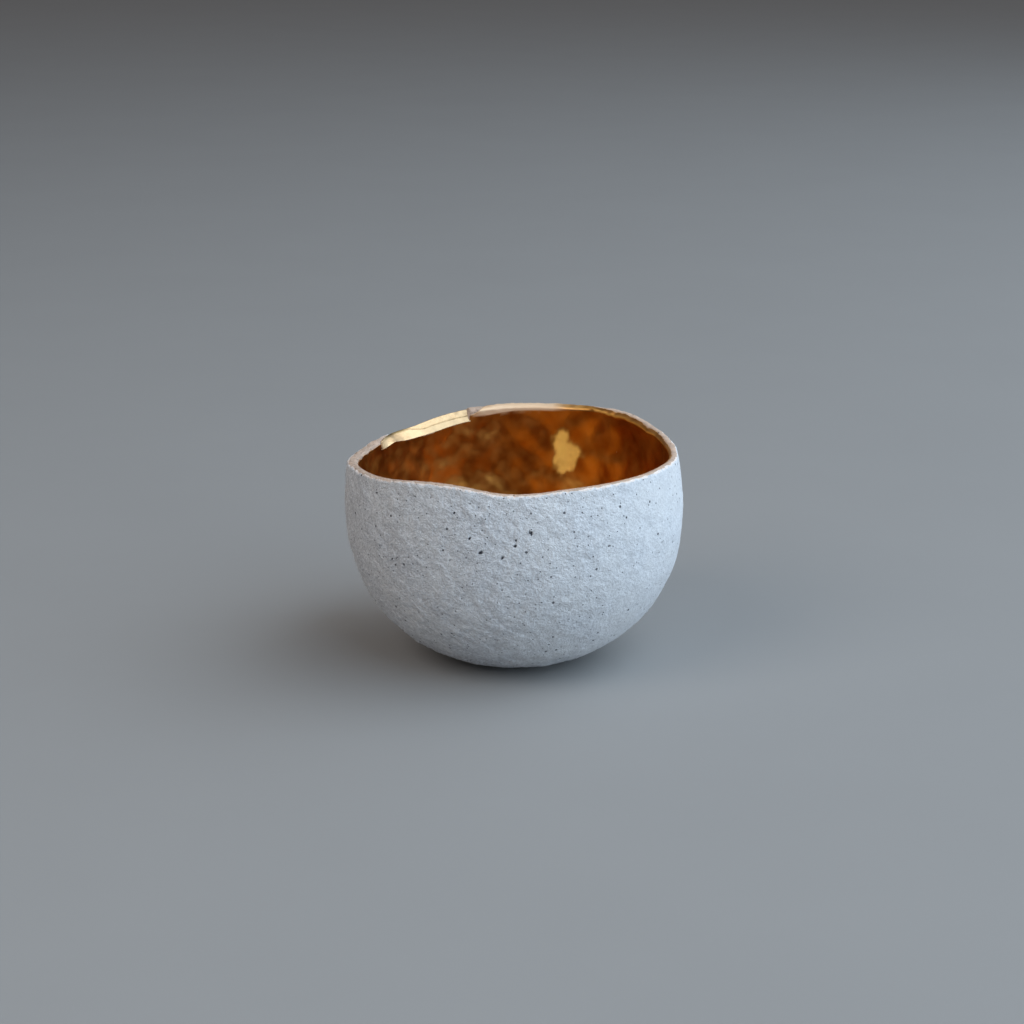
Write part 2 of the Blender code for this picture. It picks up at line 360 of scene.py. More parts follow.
def pushed_out(line, gap, fade):
    """A line from the middle of the floor to the lip, moved into the clay by the gap, along its normals,
    and by less within the fade of its upper end."""
    steps = np.gradient(line, axis=0)
    normals = np.column_stack([steps[:, 1], -steps[:, 0]])
    normals /= np.maximum(np.linalg.norm(normals, axis=1, keepdims=True), 1e-12)
    lengths = line_lengths(line)
    shares = np.clip((lengths[-1] - lengths) / fade, 0, 1)
    moved = line + normals * (gap * shares)[:, None]
    moved[0, 0] = 0
    return moved


def line_lengths(line):
    """How far along the line each of its points is."""
    return np.concatenate([[0], np.cumsum(np.linalg.norm(np.diff(line, axis=0), axis=1))])


def along_line(line, distances):
    """(radius, height) at those distances along a line, by straight interpolation."""
    lengths = line_lengths(line)
    return np.interp(distances, lengths, line[:, 0]), np.interp(distances, lengths, line[:, 1])


def turned(radii, heights, azimuths):
    """Points at those radii and heights, for each azimuth in radians."""
    around = np.broadcast_to(azimuths, np.broadcast_shapes(radii.shape, azimuths.shape))
    heights = np.broadcast_to(heights, around.shape)
    return np.stack([radii * np.cos(around), radii * np.sin(around), heights], axis=-1)


def ripples(points, wavelength, seed, waves=36):
    """A random field with a spread of 1: a sum of plane waves of about one wavelength, with directions
    and phases drawn from the seed."""
    draw = np.random.default_rng(seed)
    directions = draw.normal(size=(waves, 3))
    directions /= np.linalg.norm(directions, axis=1, keepdims=True)
    numbers = 2 * math.pi / wavelength * draw.uniform(0.6, 1.6, waves)
    phases = draw.uniform(0, 2 * math.pi, waves)
    total = np.zeros(points.shape[:-1])
    for direction, number, phase in zip(directions, numbers, phases):
        total += np.cos(points @ (number * direction) + phase)
    return total * math.sqrt(2 / waves)


def slanted(points, slant, stretch):
    """Points turned about Z in proportion to their height, with the height shortened, so that a field of
    them runs in slanting dabs."""
    x, y, z = np.moveaxis(points, -1, 0)
    turn = slant * z / BODY_RADIUS
    return np.stack(
        [x * np.cos(turn) - y * np.sin(turn), x * np.sin(turn) + y * np.cos(turn), z / stretch], axis=-1
    )


def surface_normals(grid):
    """Unit normals of a grid of points (rows, columns) whose columns join up: the cross product of the steps
    along the columns and along the rows."""
    around = np.roll(grid, -1, axis=1) - np.roll(grid, 1, axis=1)
    normals = np.cross(around, np.gradient(grid, axis=0))
    return normals / np.maximum(np.linalg.norm(normals, axis=-1, keepdims=True), 1e-12)


def closed_surface(name, first_pole, rows, last_pole, **attributes):
    """A mesh through rows of points whose columns join up, closed with a fan to a pole at each end. Each
    attribute is a number or a vector for each point of the rows, and 0 at the poles."""
    count, columns = rows.shape[:2]
    points = np.vstack([rows.reshape(-1, 3), [first_pole, last_pole]])
    here = np.arange(columns)
    there = (here + 1) % columns
    starts = (np.arange(count - 1) * columns)[:, None]
    above = starts + columns
    quads = np.stack([starts + here, starts + there, above + there, above + here], axis=-1)
    pole = np.full(columns, count * columns)
    top = (count - 1) * columns
    first_fan = np.stack([pole, there, here], axis=-1)
    last_fan = np.stack([pole + 1, top + here, top + there], axis=-1)
    fans = np.vstack([first_fan, last_fan])
    corners = np.concatenate([quads.reshape(-1), fans.reshape(-1)]).astype(np.int32)
    sides = np.concatenate([np.full(quads.size // 4, 4), np.full(len(fans), 3)]).astype(np.int32)
    mesh = bpy.data.meshes.new(name)
    mesh.vertices.add(len(points))
    mesh.vertices.foreach_set("co", points.astype(np.float32).ravel())
    mesh.loops.add(len(corners))
    mesh.loops.foreach_set("vertex_index", corners)
    mesh.polygons.add(len(sides))
    loop_starts = np.concatenate([[0], np.cumsum(sides)[:-1]])
    mesh.polygons.foreach_set("loop_start", loop_starts.astype(np.int32))
    mesh.update(calc_edges=True)
    for title, values in attributes.items():
        kind, field, size = ("FLOAT", "value", 1) if values.ndim == 2 else ("FLOAT_VECTOR", "vector", 3)
        stored = mesh.attributes.new(title, kind, "POINT")
        stored.data.foreach_set(field, np.append(values.ravel(), np.zeros(2 * size)).astype(np.float32))
    mesh.shade_smooth()
    mesh.validate()
    return mesh


def add_piece(name, mesh, material, slot, *nodes):
    """Links a finished piece that rides on the cup and stands for the named solids."""
    piece = bpy.data.objects.new(name, mesh)
    bpy.context.scene.collection.objects.link(piece)
    mesh.materials.append(material)
    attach(piece, "root")
    if nodes:
        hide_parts(*nodes)
    return piece


class Wiring:
    """Adds nodes to a shader tree. A value given for a socket is set on it, and a socket is linked to it."""

    MIX_FACTOR, MIX_FIRST, MIX_SECOND, MIX_RESULT = 0, 6, 7, 2

    def __init__(self, tree):
        self.tree = tree

    def feed(self, socket, value):
        if isinstance(value, bpy.types.NodeSocket):
            self.tree.links.new(value, socket)
        else:
            socket.default_value = value

    def add(self, kind, inputs=None, **settings):
        node = self.tree.nodes.new("ShaderNode" + kind)
        for name, value in settings.items():
            setattr(node, name, value)
        for name, value in (inputs or {}).items():
            self.feed(node.inputs[name], value)
        return node

    def group(self, title, **inputs):
        if title not in bpy.data.node_groups:
            GROUP_MAKERS[title]()
        node = self.add("Group", node_tree=bpy.data.node_groups[title])
        for name, value in inputs.items():
            self.feed(node.inputs[name.capitalize()], value)
        return node.outputs[0]

    def sum(self, operation, *values):
        node = self.add("Math", operation=operation)
        for socket, value in zip(node.inputs, values):
            self.feed(socket, value)
        return node.outputs[0]

    def spread(self, value, low, high, to_low=0.0, to_high=1.0):
        """The value mapped smoothly from low..high to to_low..to_high."""
        node = self.add("MapRange", interpolation_type="SMOOTHSTEP")
        for socket, number in zip(node.inputs, (value, low, high, to_low, to_high)):
            self.feed(socket, number)
        return node.outputs[0]

    def blend(self, factor, first, second, blend_type="MIX"):
        node = self.add("Mix", data_type="RGBA", blend_type=blend_type)
        self.feed(node.inputs[self.MIX_FACTOR], factor)
        self.feed(node.inputs[self.MIX_FIRST], first)
        self.feed(node.inputs[self.MIX_SECOND], second)
        return node.outputs[self.MIX_RESULT]


def opaque(rgb):
    return (*rgb, 1.0)


def group_ends(wiring):
    """The group's own input and output nodes."""
    inside = wiring.tree.nodes.new("NodeGroupInput")
    outside = wiring.tree.nodes.new("NodeGroupOutput")
    return inside.outputs, outside.inputs


def start_group(title, inputs, output):
    """A new shader node group: its wiring, its input sockets and its output's socket. Each input is a
    name, a kind and a default."""
    tree = bpy.data.node_groups.new(title, "ShaderNodeTree")
    for name, kind, default in inputs:
        socket = tree.interface.new_socket(name, in_out="INPUT", socket_type="NodeSocket" + kind)
        if default is not None:
            socket.default_value = default
    tree.interface.new_socket(output, in_out="OUTPUT", socket_type="NodeSocketFloat")
    wiring = Wiring(tree)
    given, result = group_ends(wiring)
    return wiring, given, result[0]


def make_clouds_group():
    """Clouds: soft patches from 0 to 1, from noise of a size and detail, pulled apart by a contrast."""
    inputs = (
        ("Place", "Vector", None),
        ("Size", "Float", 0.01),
        ("Contrast", "Float", 1.0),
        ("Detail", "Float", 4.0),
    )
    wiring, given, result = start_group("Clouds", inputs, "Mask")
    scale = wiring.sum("DIVIDE", 1.0, given["Size"])
    noise = wiring.add(
        "TexNoise",
        {"Vector": given["Place"], "Scale": scale, "Detail": given["Detail"], "Roughness": 0.55},
    )
    half_span = wiring.sum("DIVIDE", 0.25, given["Contrast"])
    low = wiring.sum("SUBTRACT", 0.5, half_span)
    high = wiring.sum("ADD", 0.5, half_span)
    wiring.feed(result, wiring.spread(noise.outputs[0], low, high))


def make_specks_group():
    """Specks: round spots where the surface cuts small balls strewn in a volume, one in each cell."""
    inputs = (("Place", "Vector", None), ("Spacing", "Float", 0.002), ("Radius", "Float", 0.0002))
    wiring, given, result = start_group("Specks", inputs, "Mask")
    scale = wiring.sum("DIVIDE", 1.0, given["Spacing"])
    cells = wiring.add("TexVoronoi", {"Vector": given["Place"], "Scale": scale})
    rim = wiring.sum("DIVIDE", given["Radius"], given["Spacing"])
    core = wiring.sum("MULTIPLY", rim, 0.55)
    wiring.feed(result, wiring.spread(cells.outputs["Distance"], core, rim, 1.0, 0.0))


def make_wear_group():
    """Wear: 1 at an edge and 0 past a reach from it, broken up by noise of a size."""
    inputs = (
        ("Place", "Vector", None),
        ("Distance", "Float", 0.0),
        ("Reach", "Float", 0.001),
        ("Size", "Float", 0.001),
    )
    wiring, given, result = start_group("Wear", inputs, "Mask")
    scale = wiring.sum("DIVIDE", 1.0, given["Size"])
    noise = wiring.add("TexNoise", {"Vector": given["Place"], "Scale": scale, "Detail": 3.0})
    broken = wiring.sum("MULTIPLY", given["Reach"], wiring.spread(noise.outputs[0], 0.3, 0.7, 0.25, 1.6))
    near = wiring.sum("MULTIPLY", broken, 0.6)
    wiring.feed(result, wiring.spread(given["Distance"], near, broken, 1.0, 0.0))


GROUP_MAKERS = {"Clouds": make_clouds_group, "Specks": make_specks_group, "Wear": make_wear_group}


def new_material(title, **constants):
    """A material with the values that are the same all over its surface set on the shader's own sockets."""
    made = bpy.data.materials.new(title)
    made.use_nodes = True
    shader = made.node_tree.nodes["Principled BSDF"]
    for name, value in constants.items():
        shader.inputs[name.capitalize()].default_value = value
    wiring = Wiring(made.node_tree)
    return made, wiring, shader, wiring.add("TexCoord").outputs["Object"]


def bump(wiring, height, distance):
    return wiring.add("Bump", {"Strength": 1.0, "Distance": distance, "Height": height}).outputs[0]


def stoneware_material(finish):
    """Unglazed clay: slanting strokes, grain and blotches in two greys, their contrast raised on the left as
    painted shade of the relief, slow warm clouds, iron specks, dark pits and a toasted lip, whose top is
    painted darker as shade and whose outer rounding is painted lighter as light."""
    made, wiring, shader, place = new_material("speckled_stoneware", metallic=0.0)
    brushed = wiring.add("Attribute", attribute_name="brushed").outputs["Vector"]
    clouds = wiring.group("Clouds", place=place, size=12 * MM, contrast=1.2)
    blotches = wiring.group("Clouds", place=place, size=2.3 * MM, contrast=1.3)
    strokes = wiring.group("Clouds", place=brushed, size=1.0 * MM, contrast=1.3)
    grain = wiring.group("Clouds", place=place, size=0.50 * MM, contrast=1.35)
    sand = wiring.add("TexNoise", {"Vector": place, "Scale": 1 / (0.26 * MM), "Detail": 2.0}).outputs[0]
    tone = wiring.sum("MULTIPLY_ADD", grain, 0.50, wiring.sum("MULTIPLY", strokes, 0.20))
    tone = wiring.sum("MULTIPLY_ADD", blotches, 0.20, tone)
    tone = wiring.sum("MULTIPLY_ADD", clouds, 0.10, tone)
    rough = wiring.add("Attribute", attribute_name="rough").outputs["Fac"]
    # Painted shade: the contrast of the clay's tone is raised where the relief is most shaded by grazing
    # light, on the left, and lowered on the right.
    contrast = wiring.sum("MULTIPLY_ADD", rough, 0.5, 0.5)
    tone = wiring.sum("MULTIPLY_ADD", wiring.sum("SUBTRACT", tone, 0.5), contrast, 0.5)
    body = wiring.blend(tone, opaque(finish.deep), opaque(finish.pale))
    body = wiring.blend(wiring.sum("MULTIPLY", clouds, 0.35), body, opaque(finish.warm))
    lip = wiring.add("Attribute", attribute_name="lip").outputs["Fac"]
    pit = wiring.add("Attribute", attribute_name="pit").outputs["Fac"]
    # Painted light and shade on the lip: the outer rounding is lightened with the flushed colour and the top
    # is darkened with the toasted colour, over their own clay colours.
    flushed_and_lit = wiring.group("Wear", place=place, distance=lip, reach=0.42 * MM, size=0.9 * MM)
    toasted_and_shaded = wiring.group("Wear", place=place, distance=lip, reach=0.15 * MM, size=1.4 * MM)
    body = wiring.blend(wiring.sum("MULTIPLY", flushed_and_lit, 0.85), body, opaque(finish.flushed_and_lit))
    stain = [0.7 * part for part in finish.toasted_and_shaded]
    stained = wiring.blend(blotches, opaque(stain), opaque(finish.toasted_and_shaded))
    body = wiring.blend(wiring.sum("MULTIPLY", toasted_and_shaded, 0.85), body, stained)
    small = wiring.group("Specks", place=place, spacing=1.35 * MM, radius=0.185 * MM)
    middling = wiring.group("Specks", place=place, spacing=3.4 * MM, radius=0.34 * MM)
    marks = wiring.sum("MULTIPLY", wiring.sum("MAXIMUM", small, middling), 0.85)
    marks = wiring.sum("MAXIMUM", marks, wiring.spread(pit, 0.25, 0.55))
    wiring.feed(shader.inputs["Base Color"], wiring.blend(marks, body, opaque(finish.speck)))
    wiring.feed(shader.inputs["Roughness"], wiring.spread(tone, 0.0, 1.0, 0.96, 0.84))
    relief = wiring.sum("MULTIPLY_ADD", sand, 1.0, wiring.sum("MULTIPLY", grain, 0.45))
    relief = wiring.sum("MULTIPLY_ADD", strokes, 0.32, relief)
    relief = wiring.sum("MULTIPLY", relief, rough)
    relief = wiring.sum("SUBTRACT", relief, wiring.sum("MULTIPLY", marks, 1.2))
    wiring.feed(shader.inputs["Normal"], bump(wiring, relief, finish.grain_depth))
    return made


def lustre_material(finish):
    """Gold lustre over glaze: cloudy deep amber with painted reflections of the lamps, paler leaf-like
    patches whose shading normals face upwards a little, a thin pale gold over the lip, pinholes and a worn
    edge."""
    made, wiring, shader, place = new_material("gold_lustre")
    clouds = wiring.group("Clouds", place=place, size=6.0 * MM, contrast=1.15, detail=1.0)
    haze = wiring.group("Clouds", place=place, size=2.4 * MM, contrast=0.8, detail=1.0)
    leaf = wiring.add("Attribute", attribute_name="leaf").outputs["Fac"]
    lip = wiring.add("Attribute", attribute_name="lip").outputs["Fac"]
    edge = wiring.add("Attribute", attribute_name="edge").outputs["Fac"]
    mottled = wiring.sum("MULTIPLY_ADD", haze, 0.3, wiring.sum("MULTIPLY", clouds, 0.7))
    # Painted reflections: paler colour, less metal and a shading normal turned upwards inside the pale
    # patches.
    leaf = wiring.sum("MULTIPLY", leaf, wiring.spread(haze, 0.1, 0.7, 0.72, 1.0))
    gold = wiring.blend(mottled, opaque(finish.deep_gold), opaque(finish.gold))
    gold = wiring.blend(leaf, gold, opaque(finish.leaf))
    gold = wiring.blend(lip, gold, opaque(finish.lip_gold))
    worn = wiring.group("Wear", place=place, distance=edge, reach=0.20 * MM, size=0.9 * MM)
    pinholes = wiring.group("Specks", place=place, spacing=5.0 * MM, radius=0.16 * MM)
    bare = wiring.sum("MAXIMUM", worn, wiring.sum("MULTIPLY", pinholes, 0.5))
    wiring.feed(shader.inputs["Base Color"], wiring.blend(bare, gold, opaque(finish.worn)))
    dull = wiring.sum("MAXIMUM", wiring.sum("MULTIPLY", leaf, 0.85), wiring.sum("MULTIPLY", lip, 0.6))
    dull = wiring.sum("MAXIMUM", dull, wiring.sum("MULTIPLY", bare, 0.7))
    wiring.feed(shader.inputs["Metallic"], wiring.sum("SUBTRACT", 1.0, dull))
    smooth = wiring.spread(haze, 0.0, 1.0, 0.30, 0.40)
    wiring.feed(shader.inputs["Roughness"], wiring.sum("MULTIPLY_ADD", dull, 0.35, smooth))
    upright = wiring.add("VectorTransform", vector_type="NORMAL", convert_from="OBJECT", convert_to="WORLD")
    upright.inputs[0].default_value = (0, 0, 1)
    tilt = wiring.add("VectorMath", {"Scale": wiring.sum("MULTIPLY", leaf, 0.6)}, operation="SCALE")
    wiring.feed(tilt.inputs[0], upright.outputs[0])
    facing = wiring.add("VectorMath", operation="ADD")
    wiring.feed(facing.inputs[0], bump(wiring, haze, 0.00003))
    wiring.feed(facing.inputs[1], tilt.outputs[0])
    unit = wiring.add("VectorMath", operation="NORMALIZE")
    wiring.feed(unit.inputs[0], facing.outputs[0])
    wiring.feed(shader.inputs["Normal"], unit.outputs[0])
    return made


def mend_material(finish):
    """Burnished gold powder on lacquer: pale gold with a fine sprinkled grain, lacquer that shows through
    along the worn ends, and painted shade in the crease and under the crest."""
    made, wiring, shader, place = new_material("gilded_lacquer", metallic=1.0)
    clouds = wiring.group("Clouds", place=place, size=2.6 * MM, contrast=1.2)
    powder = wiring.group("Clouds", place=place, size=0.35 * MM, contrast=1.0)
    edge = wiring.add("Attribute", attribute_name="edge").outputs["Fac"]
    crease = wiring.add("Attribute", attribute_name="crease").outputs["Fac"]
    thin = wiring.group("Wear", place=place, distance=edge, reach=0.22 * MM, size=0.7 * MM)
    shade = wiring.sum("MAXIMUM", thin, wiring.sum("MULTIPLY", clouds, 0.12))
    # Painted shade: the gold is darkened towards the shade colour along the crease and under the crest.
    shade = wiring.sum("MAXIMUM", shade, wiring.sum("MULTIPLY", crease, 0.85))
    wiring.feed(shader.inputs["Base Color"], wiring.blend(shade, opaque(finish.gold), opaque(finish.shade)))
    wiring.feed(shader.inputs["Roughness"], wiring.spread(powder, 0.0, 1.0, 0.32, 0.42))
    wiring.feed(shader.inputs["Normal"], bump(wiring, powder, 0.000006))
    return made


def column_azimuths(form, columns):
    """Azimuths of the columns in radians, one of them just short of the mend's blunt end, so that the chip
    starts steeply there."""
    return form.mend.start - 0.0003 + np.linspace(0, 2 * math.pi, columns, endpoint=False)


def cup_rows(form, columns):
    """Rows of turned points over the whole clay body, from the middle of the foot up the outside, over the
    lip and, with few rows because the lustre hides it, down the hollow to the middle of the floor. The hollow
    lies behind the lustre, right up to the lip only in the chip."""
    stretches = []
    hollow = pushed_out(form.inner_line(60), HOLLOW_GAP, 1.5 * MM)[::-1]
    for line, steps in ((form.outer_line(200), 144), (form.lip_line(24), 12), (hollow, 18)):
        distances = np.linspace(0, line_lengths(line)[-1], steps + 1)
        stretches.append(np.column_stack(along_line(line, distances)))
    line = np.vstack([stretches[0][1:], stretches[1][1:], stretches[2][1:-1]])
    radii, heights = line[:, :1], line[:, 1:]
    azimuths = column_azimuths(form, columns)
    along = form.chip_share(np.degrees(azimuths))
    in_chip = (along > 0) & (along < 1) & (heights > form.sizes.steady_height)
    set_back = np.maximum(radii, form.inner_radius(heights) + HOLLOW_GAP)
    return turned(np.where(in_chip, set_back, radii), heights, azimuths[None, :])


def on_wall(points, azimuth):
    """Metres sideways, anticlockwise, from the line at an azimuth, and whether a point is on that side."""
    x, y, _ = np.moveaxis(points, -1, 0)
    turn = math.radians(azimuth)
    return y * math.cos(turn) - x * math.sin(turn), x * math.cos(turn) + y * math.sin(turn) > 0


def all_pits():
    """The pits that stand out, and small round ones strewn by chance all round the cup."""
    draw = np.random.default_rng(61)
    azimuths = draw.uniform(0, 360, SMALL_PITS)
    heights = draw.uniform(0.5, 0.97, SMALL_PITS) * MEAN_RIM
    sizes = draw.uniform(0.85, 1.1, SMALL_PITS) * SMALL_PIT_SIZE
    level = np.zeros(SMALL_PITS)
    return [*PITS, *zip(azimuths, heights, sizes, sizes, level)]


def pit_field(points):
    """1 in the middle of each pit, falling off as a bell curve over its half length and half width."""
    depth = np.zeros(points.shape[:-1])
    for azimuth, height, half_length, half_width, turned_by in all_pits():
        sideways, facing = on_wall(points, azimuth)
        upwards = points[..., 2] - height
        turn = math.radians(turned_by)
        along = (sideways * math.cos(turn) + upwards * math.sin(turn)) / half_length
        across = (upwards * math.cos(turn) - sideways * math.sin(turn)) / half_width
        depth = np.maximum(depth, np.where(facing, np.exp(-(along ** 2) - across ** 2), 0))
    return depth


def leaf_field(points):
    """The strength of each painted reflection inside its oval, whose outline is broken up by a random field.
    """
    broken = 0.13 * ripples(points, 3.0 * MM, 51) + 0.06 * ripples(points, 1.2 * MM, 52)
    strength = np.zeros(points.shape[:-1])
    for azimuth, height, half_width, half_height, most in PAINTED_GLINTS:
        sideways, facing = on_wall(points, azimuth)
        away = np.hypot(sideways / half_width, (points[..., 2] - height) / half_height) + broken
        inside = np.clip((1.45 - away) / 0.9, 0, 1)
        strength = np.maximum(strength, np.where(facing, most * inside * inside * (3 - 2 * inside), 0))
    return strength


def brushed_place(points):
    """Points turned and shortened so that a field of them runs in slanting strokes."""
    return slanted(points, 0.9, 0.9)


def roughness_share(finish, points):
    """How rough the clay is against its mean, and how strongly the shade of its relief is painted into its
    colour: a cosine round the cup, highest at the roughest azimuth.
    """
    return 1 + 0.8 * np.cos(np.arctan2(points[..., 1], points[..., 0]) - finish.roughest)


def clay_relief(form, finish, plain, rows):
    """Height of the clay's relief at points of the cup, from where they are before and after shaping: slow
    lumps, slanting dabs and, near the lip, small bumps. It fades out over the lip and at the foot."""
    radius, height = np.hypot(plain[..., 0], plain[..., 1]), plain[..., 2]
    outside = np.clip((radius - form.inner_radius(height)) / form.sizes.rim_wall, 0, 1)
    outside *= np.clip(height / (1.2 * MM), 0, 1)
    lumps = ripples(rows, 9 * MM, 3) + 0.6 * ripples(rows, 4.2 * MM, 5)
    dabs = 0.65 * ripples(brushed_place(rows), 2.2 * MM, 7, 64) + 0.35 * ripples(rows, 1.5 * MM, 17, 64)
    dabs += 0.7 * ripples(brushed_place(rows), 4.0 * MM, 11, 64)
    dabs *= roughness_share(finish, rows) + 0.3 * np.clip(ripples(rows, 11 * MM, 19), -2, 2)
    near_lip = np.exp(-(((form.sizes.rim_height - height) / (1.0 * MM)) ** 2))
    bumps = ripples(rows, 1.3 * MM, 13, 64) + 0.8 * ripples(rows, 3.1 * MM, 14)
    relief = finish.lump_depth * (lumps - 1) + finish.dab_depth * dabs + finish.lip_depth * near_lip * bumps
    return relief * outside, outside


def lustre_edge(azimuths):
    """The lustre's edge at each azimuth, in the order of LUSTRE_EDGE: straight lines between its stops, with
    the reach made uneven by two random fields."""
    stops, *settings = np.array(LUSTRE_EDGE).T
    reach, *others = (np.interp(np.degrees(azimuths), stops, values, period=360) for values in settings)
    ring = turned(np.array([BODY_RADIUS]), np.array([0.0]), azimuths)
    reach = reach + 0.03 * ripples(ring, 5 * MM, 21) + 0.015 * ripples(ring, 1.7 * MM, 22)
    return np.clip(reach, -0.3, 0.97), *others


def lustre_ends(form, azimuths, wall, past_lip):
    """How far along its line, up the hollow and over the lip, the lustre ends: past the lip's start by the
    given distance or, in the chip, just under the mend."""
    along = form.chip_share(np.degrees(azimuths))
    lengths = line_lengths(wall)
    ends = lengths[-1] + past_lip
    mend_edge = form.sizes.rim_height - form.inner_drop(along) - 0.04 * MM
    under_mend = np.interp(mend_edge, wall[:, 1], lengths)
    lowered = np.where((along > 0) & (along < 1), np.clip((1 - along) / 0.035, 0, 1), 0)
    return (ends + (under_mend - ends) * lowered)[None, :]


def lustre_distances(ends):
    """Distances along the lustre's line for each row, and whether the row is seen: the underside from the
    middle of the floor to the edge, then close rows down from the edge and wider ones to the middle."""
    close = 3.2 * MM
    near = np.linspace(0, close, 41)[:-1, None] + 0 * ends
    far = close + np.linspace(0, 1, 82)[:-1, None] * (ends - close)
    hidden = np.linspace(0, 1, 17)[1:-1, None] * ends
    distances = np.vstack([hidden, ends - near, ends - far])
    return distances, np.arange(len(distances))[:, None] >= len(hidden)


def lustre_film(finish, rows, to_edge, to_lip, gathered):
    """Height of the lustre over the clay: its film, rounded off at the edge, a bell-shaped bead near the edge
    where the glaze gathers, and slow waves that fade towards the lip, all sunk a little into the clay."""
    bead = finish.bead * gathered * np.exp(-(((to_edge - 0.85 * MM) / (0.36 * MM)) ** 2))
    rounded = np.clip(to_edge / (0.2 * MM), 0, 1) ** 0.5
    waves = ripples(rows, 8.5 * MM, 31) + 0.4 * ripples(rows, 3.8 * MM, 32)
    waves *= np.clip((to_lip - 0.3 * MM) / (3 * MM), 0, 1)
    return rounded * (finish.film + bead) + finish.ripple * waves - 0.04 * MM


class SakeCupOperator(bpy.types.Operator):
    """Base of the cup's operators"""

    bl_options = {"REGISTER", "UNDO"}

    @staticmethod
    def form(context):
        return CupForm(context.scene.sake_cup_sizes, context.scene.sake_cup_mend)


class AddStoneware(SakeCupOperator):
    """Add the clay body with its grain, pits and chipped rim"""

    bl_idname = "sake_cup.add_stoneware"
    bl_label = "Stoneware Body"

    def execute(self, context):
        finish = context.scene.sake_cup_clay
        form = self.form(context)
        plain = cup_rows(form, context.scene.sake_cup_studio.fine)
        rows = form.shaped(plain)
        relief, outside = clay_relief(form, finish, plain, rows)
        pits = pit_field(rows) * outside
        brushed = brushed_place(rows)
        rows = rows + surface_normals(rows) * (relief - 0.12 * MM * pits)[..., None]
        radius, height = np.hypot(plain[..., 0], plain[..., 1]), plain[..., 2]
        outer_half = radius - form.inner_radius(height) > form.sizes.rim_wall / 2
        below_rim = np.where(outer_half, form.sizes.rim_height - height, 0)
        foot, floor = (0, 0, 0), (0, 0, form.sizes.floor - HOLLOW_GAP)
        rough = roughness_share(finish, rows)
        mesh = closed_surface(
            "stoneware_body", foot, rows, floor, lip=below_rim, pit=pits, brushed=brushed, rough=rough
        )
        add_piece("stoneware_body", mesh, stoneware_material(finish), "stoneware", "stoneware_cup")
        return {"FINISHED"}


class AddLustre(SakeCupOperator):
    """Add the film of gold lustre over the inside, with its bead under the lip"""

    bl_idname = "sake_cup.add_lustre"
    bl_label = "Gold Lustre"

    def execute(self, context):
        finish = context.scene.sake_cup_lustre
        form = self.form(context)
        azimuths = column_azimuths(form, context.scene.sake_cup_studio.fine)
        wall, lip = form.inner_line(80), form.lip_line(24)[::-1]
        lip_start, lip_length = line_lengths(wall)[-1], line_lengths(lip)[-1]
        reach, gathered, pale, pale_depth = lustre_edge(azimuths)
        ends = lustre_ends(form, azimuths, wall, reach * lip_length)
        distances, seen = lustre_distances(ends)
        radii, heights = along_line(np.vstack([wall, lip[1:]]), distances)
        plain = turned(radii, heights, azimuths[None, :])
        rows = form.shaped(plain, chipped=False)
        relief, _ = clay_relief(form, context.scene.sake_cup_clay, plain, rows)
        to_edge = ends - distances
        leaf = leaf_field(rows)
        film = lustre_film(finish, rows, to_edge, np.minimum(lip_start, ends) - distances, gathered)
        film = np.where(seen, film, -UNDERSIDE)
        outward = surface_normals(rows)
        outward[~seen[:, 0]] *= -1
        rows = rows + outward * (film + relief)[..., None]
        # Over the lip, where no bead gathers, the lustre is paled too, and along the bead's ridge it is paled
        # as a painted highlight.
        over_lip = np.clip((distances - lip_start) / (0.4 * MM), 0, 1) * (1 - gathered)
        painted_ridge_highlight = np.exp(-(((to_edge - 1.0 * MM) / (0.24 * MM)) ** 2)) * gathered
        leaf = np.maximum(leaf, np.maximum(0.65 * over_lip, 0.8 * painted_ridge_highlight))
        on_lip = np.clip((distances - lip_start + pale_depth) / (0.3 * MM), 0, 1) * pale
        under = (0, 0, form.sizes.floor - UNDERSIDE)
        over = (0, 0, form.sizes.floor + finish.film)
        mesh = closed_surface("gold_lining", under, rows, over, edge=to_edge, lip=on_lip, leaf=leaf)
        add_piece("gold_lining", mesh, lustre_material(finish), "gold_lustre")
        return {"FINISHED"}


